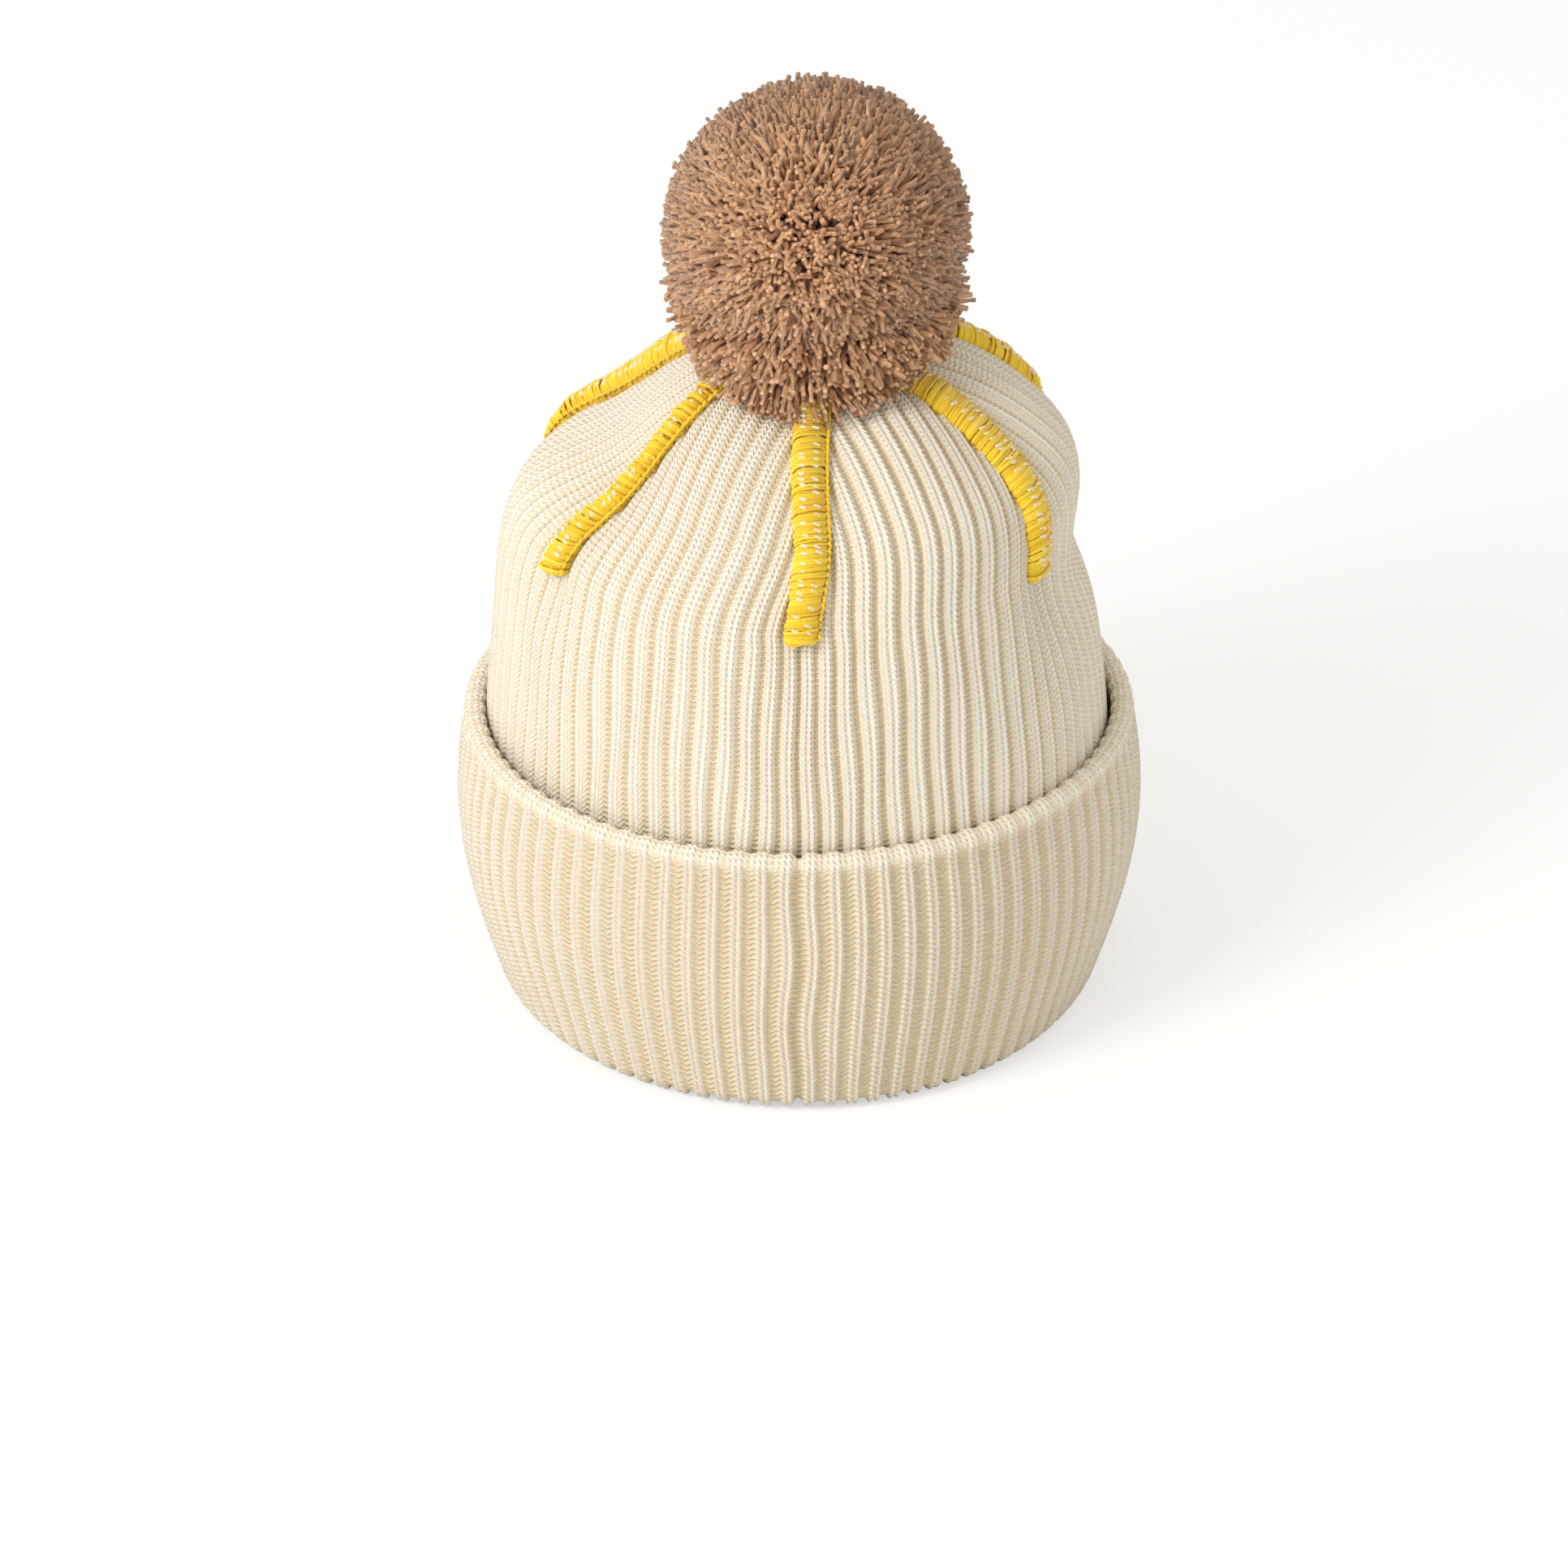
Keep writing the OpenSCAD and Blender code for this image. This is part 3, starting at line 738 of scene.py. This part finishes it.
def label_mesh():
    """The ribbon, laid along the body's inner face from the join's edge."""
    bm = bmesh.new()
    bmesh.ops.create_grid(bm, x_segments=24, y_segments=14, size=1)
    rest = np.array([v.co[:2] for v in bm.verts])
    side = -JOIN_W / 2 - FIT_GAP - (rest[:, 0] + 1) / 2 * LABEL_W
    z = LABEL_RISE + (rest[:, 1] + 1) / 2 * LABEL_H
    s = z / SHOULDER_Z
    curl = 0.5 * MM * np.sin(rest[:, 0] * 3) * rest[:, 1]
    near = -KNIT_T - 1.6 * MM - np.abs(curl)
    for vert, point in zip(bm.verts, on_knit(s, BACK + side / half_w(s), near)):
        vert.co = point
    faces = bm.faces[:]
    bmesh.ops.recalc_face_normals(bm, faces=faces)
    bmesh.ops.solidify(bm, geom=faces, thickness=LABEL_T)
    mesh = bpy.data.meshes.new("care_label_satin")
    bm.to_mesh(mesh)
    bm.free()
    return mesh


label_satin = satin_material("white_polyester_satin", SATIN, SATIN_DEEP)
label = add_piece("care_label_satin", label_mesh(), label_satin, replaces=["care_label"])


# ---- Pompom tie ----
# Doubled tan yarn goes round the pompom's waist, through the crown's eyelet, and ends in a
# knot inside. Drawn tight, it is a small ball that the pompom rocks on.
TIE_LO, TIE_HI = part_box("pompom_tie")
PIVOT_Z = (TIE_LO[2] + TIE_HI[2]) / 2
BALL_R = (TIE_HI[0] - TIE_LO[0]) / 2
KNOT_LO, KNOT_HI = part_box("tie_knot")
WOUND_LO, WOUND_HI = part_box("pompom_binding")
KNOT_YARN, TAIL_YARN, BALL_YARN, WOUND_YARN = 1.35 * MM, 1.25 * MM, 0.6 * MM, 0.8 * MM    # their radii
KNOT_LOOP, KNOT_DROP = 1.75 * MM, 4.2 * MM       # size of the knot's loops, and its place under the crown
BALL_WRAPS, WOUND_WRAPS = 9, 23
WOUND_UP = np.array([3.2, 9.2, 16.2]) * MM       # heights above the tie's ball, and the winding's
WOUND_OUT = np.array([1.4, 2.9, 6.8]) * MM       # radius at each: it narrows to pass the eyelet
TAN, TAN_DEEP = "#D2AE8C", "#8C6548"

tan_yarn = yarn_material("tan_acrylic_tie_yarn", TAN, TAN_DEEP, grain=0.2 * MM)
t = np.linspace(0, 2 * np.pi, 140)
knot_z = KNOT_HI[2] - KNOT_DROP
trefoil = np.stack([np.sin(t) + 2 * np.sin(2 * t), np.cos(t) - 2 * np.cos(2 * t), -1.1 * np.sin(3 * t)], -1)
knot = bend("knot", (trefoil * KNOT_LOOP + np.array([0, 0, knot_z]))[None], KNOT_YARN,
            sides=12, lobes=0.12, turns=9)
fall = np.linspace(0, 1, 14)
tails = np.stack([
    np.stack([way * (1.6 + 1.2 * fall ** 2) * MM, way * (0.6 + 3.0 * fall) * MM,
              knot_z - fall * (knot_z - KNOT_LO[2] - 0.6 * MM)], -1) for way in (-1, 1)])
tail_yarn = bend("tails", tails, TAIL_YARN, sides=12, lobes=0.12, turns=2, out=(1, 0, 0))
add_piece("tie_knot_yarn", joined("tie_knot_yarn", [knot, tail_yarn]), tan_yarn,
          replaces=["tie_knot"])

t = np.linspace(0, 1, 220)
turn = BALL_WRAPS * 2 * np.pi * t
down = np.pi * t
ball_out = np.stack([np.sin(down) * np.cos(turn), np.sin(down) * np.sin(turn), -np.cos(down)], -1)
ball = ball_out * (BALL_R - BALL_YARN) + np.array([0, 0, PIVOT_Z])
ball_yarn = bend("pompom_tie_yarn", ball[None], BALL_YARN, sides=6, out=ball_out[None])
add_piece("pompom_tie_yarn", ball_yarn, tan_yarn, body="tie", replaces=["pompom_tie"])

z = np.linspace(WOUND_LO[2] + WOUND_YARN, WOUND_HI[2] - WOUND_YARN, 560)
turn = np.linspace(0, WOUND_WRAPS * 2 * np.pi, 560)
wound_r = np.interp(z - PIVOT_Z, WOUND_UP, WOUND_OUT)
wound = np.stack([wound_r * np.cos(turn), wound_r * np.sin(turn), z], -1)
wound_out = np.stack([np.cos(turn), np.sin(turn), 0 * turn], -1)
wound_yarn = bend("pompom_binding_yarn", wound[None], WOUND_YARN, sides=6, out=wound_out[None])
add_piece("pompom_binding_yarn", wound_yarn, tan_yarn, body="pompom", replaces=["pompom_binding"])


# ---- Pompom ----
# Some thousands of cut ends of thick, soft, two-ply tan yarn fan out from the binding and are
# trimmed to a ball. The lowest ones splay out over the crown and lie on it.
STRANDS_LO, STRANDS_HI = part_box("pompom_strands")
BALL_R_OUT = (STRANDS_HI[0] - STRANDS_LO[0]) / 2
BALL_R_TRIM = BALL_R_OUT - 1.8 * MM
CENTRE = np.array([5 * MM, 0, STRANDS_HI[2] - BALL_R_OUT])
PARTING = np.array([-4.7, -43.4, 8.4]) / 44.5    # the way from the centre to where the strands part
NOTCH = np.array([-0.33, -0.42, 0.85])           # and to where they are trimmed shorter
STRAND_R = 0.78 * MM
BALL_STRANDS, FRINGE_STRANDS, FILL_STRANDS, BED_STRANDS, LOOSE_FIBRES = 7200, 2200, 900, 1300, 3600
UNDERSIDE_MOST = 2400        # strands of the fringe and its fill that go into one piece
FIBRE_R = 0.07 * MM          # loose fibre ends, drawn thick enough to show
FIBRE_REACH = 0.3            # and their length, as a share of a strand's last stretch
FRINGE_REACH = 35 * MM       # how far from the crown's centre the fringe comes down on it
FRINGE_REACH_BACK = 8 * MM   # and how much further at the back
FRINGE_DROP = 32 * MM        # strands that end lower than this under the centre lie on the crown
HEART_R = 26 * MM
STRAND_TAN, STRAND_DEEP = "#E4B48A", "#9A6846"
# the heart's colours are darker than the strands' tan: painted shade deep inside the ball
HEART_SHADED_TAN, HEART_SHADED_DEEP = "#9A7355", "#6A4A36"
GOLDEN_TURN = math.pi * (3 - math.sqrt(5))       # spaces the strands evenly


def ripples(points, size, seed):
    """Smooth random offsets that neighbours share, so that strands lie in locks."""
    rng = np.random.default_rng(seed)
    total = np.zeros(points.shape)
    for _ in range(7):
        wave = rng.normal(0, 1, 3) / size
        start = rng.random() * 6.28
        total += np.sin(points @ wave + start)[:, None] * rng.normal(0, 1, 3)
    return total / 3.5


def strand_routes(base, tip, rng, curl, droop):
    """Routes of seven points from base to tip, with a bend of about curl and a sag of droop."""
    t = np.linspace(0, 1, 7)[None, :, None]
    side = rng.normal(0, 1, base.shape)[:, None] * curl
    wave = rng.normal(0, 1, base.shape)[:, None] * curl * 0.35
    sag = np.array([0, 0, -1.0]) * droop
    return (base[:, None] * (1 - t) + tip[:, None] * t + side * np.sin(t * np.pi)
            + wave * np.sin(t * 2 * np.pi) + sag * np.sin(t * np.pi / 2) ** 2)


def strand_mesh(name, routes, rng):
    """Two-ply strands along the routes, each of its own thickness and shade."""
    count = len(routes)
    radii = STRAND_R * (1 + rng.normal(0, 0.12, (count, 1))) * np.array([[0.9, 1, 1, 1, 1.02, 1.04, 0.86]])
    return bend(name, routes, radii, sides=6, lobes=0.16, turns=1.4, out=(0.3, 0.2, 0.9),
                shades=np.clip(rng.normal(0.62, 0.2, count), 0, 1))


def ball_directions(count, lowest):
    """Even directions over a sphere, from the top down to the polar angle lowest."""
    i = np.arange(count) + 0.5
    z = 1 - i / count * (1 - math.cos(lowest))
    turn = i * GOLDEN_TURN
    r = np.sqrt(1 - z * z)
    return np.stack([r * np.cos(turn), r * np.sin(turn), z], -1)


def trimmed_strands(rng):
    """Bases and tips of the strands that make the ball. They part at one place on the back, and
    lean away from it all round."""
    direction = ball_directions(BALL_STRANDS, math.radians(116))
    direction = direction + rng.normal(0, 0.012, direction.shape)
    direction += 0.07 * ripples(direction, 0.1, 5) + rng.normal(0, 0.02, direction.shape)
    direction /= np.linalg.norm(direction, axis=1, keepdims=True)
    dent = 3.5 * MM * np.exp(-np.sum((direction - NOTCH / np.linalg.norm(NOTCH)) ** 2, axis=1) / 0.012)
    radius = BALL_R_TRIM * (1 + rng.normal(0, 0.02, BALL_STRANDS))
    radius += 0.8 * MM * ripples(direction, 0.5, 9)[:, 0]
    base = direction + PARTING + 0.08 * ripples(direction, 0.2, 8)
    base *= 0.56 * BALL_R_OUT / np.linalg.norm(base, axis=1, keepdims=True)
    return CENTRE + base, CENTRE + direction * (radius - dent)[:, None]


rng = np.random.default_rng(3)
# the pompom's strands are painted darker towards their base, as painted shade inside the ball
pompom_yarn = yarn_material("tan_acrylic_pompom_yarn", STRAND_TAN, STRAND_DEEP, root_shade=0.35, grain=0.22 * MM,
                            sheen=0.35)
tufts = strand_routes(*trimmed_strands(rng), rng, 1.9 * MM, 1.2 * MM)
order = rng.permutation(BALL_STRANDS)
for part in range(4):
    strands = strand_mesh("pompom_strands", tufts[order[part::4]], rng)
    strands = add_piece("pompom_strands_%d" % (part + 1), strands, pompom_yarn, body="pompom")
    if part == 0:
        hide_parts("pompom_strands")

# packed yarn fills the ball behind its cut ends, coloured darker than the strands as painted shade
bm = bmesh.new()
bmesh.ops.create_icosphere(bm, subdivisions=4, radius=HEART_R)
for vert in bm.verts:
    vert.co *= 1 + 0.04 * math.sin(260 * vert.co.x) * math.sin(240 * vert.co.y + 300 * vert.co.z)
bmesh.ops.translate(bm, verts=bm.verts[:], vec=CENTRE - np.array([0, 0, MM]))
heart = bpy.data.meshes.new("pompom_heart")
bm.to_mesh(heart)
bm.free()
packed_yarn = yarn_material("tan_acrylic_packed_yarn_painted_shade", HEART_SHADED_TAN, HEART_SHADED_DEEP)
add_piece("pompom_heart", heart, packed_yarn, body="pompom")

# the fringe hangs from the ball nearly to the crown, and shorter strands close its underside
share = rng.random(FRINGE_STRANDS) ** 0.9
fringe_az = np.arange(FRINGE_STRANDS) * GOLDEN_TURN + rng.normal(0, 0.02, FRINGE_STRANDS)
around = np.stack([np.cos(fringe_az), np.sin(fringe_az), 0 * fringe_az], -1)
stations = np.linspace(1, 2, 400)
reach = FRINGE_REACH + FRINGE_REACH_BACK * np.maximum(-np.sin(fringe_az), 0) ** 3
landing = on_knit(np.interp(-reach, -half_w(stations), stations), fringe_az, 2 * MM)
outer = CENTRE + around * 41.5 * MM - np.array([0, 0, 18 * MM])
tip = outer + (landing - outer) * share[:, None]
tip[:, :2] *= 1 + rng.normal(0, 0.04, (FRINGE_STRANDS, 1)) + 0.045 * ripples(tip, 9 * MM, 4)[:, :1]
base = CENTRE + around * 14 * MM - np.array([0, 0, 1]) * (16 + 8 * share[:, None]) * MM
lifts = tip[:, 2] > CENTRE[2] - FRINGE_DROP
fringe = strand_routes(base + (tip - base) * 0.35, tip, rng, 1.5 * MM, 0.3 * MM)[lifts]
fill_r = (12 + 27 * np.sqrt(rng.random(FILL_STRANDS)[:, None])) * MM
fill_tip = CENTRE + around[:FILL_STRANDS] * fill_r + np.array([0, 0, 1]) * (0.24 * fill_r - 31 * MM)
fill_base = CENTRE + around[:FILL_STRANDS] * fill_r * 0.4 - np.array([0, 0, 18 * MM])
fill = strand_routes(fill_base, fill_tip, rng, 1.2 * MM, 0)
add_piece("pompom_fringe", strand_mesh("pompom_fringe", np.concatenate([fringe, fill])[:UNDERSIDE_MOST], rng),
          pompom_yarn, body="pompom")

# the lowest strands lie on the crown round the eyelet, pressed there by the ball
spread = np.sqrt(rng.random(BED_STRANDS))
bed_az = fringe_az[:BED_STRANDS]
bed_r = reach[:BED_STRANDS] * (0.45 + 0.55 * spread)
bed_s = np.interp(-bed_r, -half_w(stations), stations)
bed_tip = on_knit(bed_s, bed_az, (2 + 4.5 * rng.random(BED_STRANDS)) * MM)
bed_base = on_knit(np.interp(-bed_r * 0.3, -half_w(stations), stations), bed_az, 5 * MM)
bed = strand_routes(bed_base, bed_tip, rng, 0.9 * MM, -1.5 * MM)
add_piece("pompom_skirt", strand_mesh("pompom_skirt", bed, rng), pompom_yarn)


def fuzz(name, anchors, reach_out, radius, seed):
    """Loose fibre ends, one from each anchor, each a hair that wanders out about as far as reach_out."""
    rng = np.random.default_rng(seed)
    way = reach_out + rng.normal(0, 0.6, anchors.shape) * np.linalg.norm(reach_out, axis=1, keepdims=True)
    t = np.linspace(0, 1, 4)[None, :, None]
    kink = rng.normal(0, 0.35, anchors.shape)[:, None] * np.linalg.norm(way, axis=1)[:, None, None]
    routes = anchors[:, None] + way[:, None] * t + kink * t * t
    return bend(name, routes, radius * np.array([[1, 0.9, 0.7, 0.3]]), sides=3, out=(0.2, 0.4, 0.9),
                shades=np.full(len(anchors), 0.9))


ends = tufts[rng.permutation(BALL_STRANDS)[:LOOSE_FIBRES]]
hairs = fuzz("pompom_hairs", ends[:, 5], (ends[:, 6] - ends[:, 5]) * FIBRE_REACH, FIBRE_R, 21)
add_piece("pompom_hairs", hairs, pompom_yarn, body="pompom")
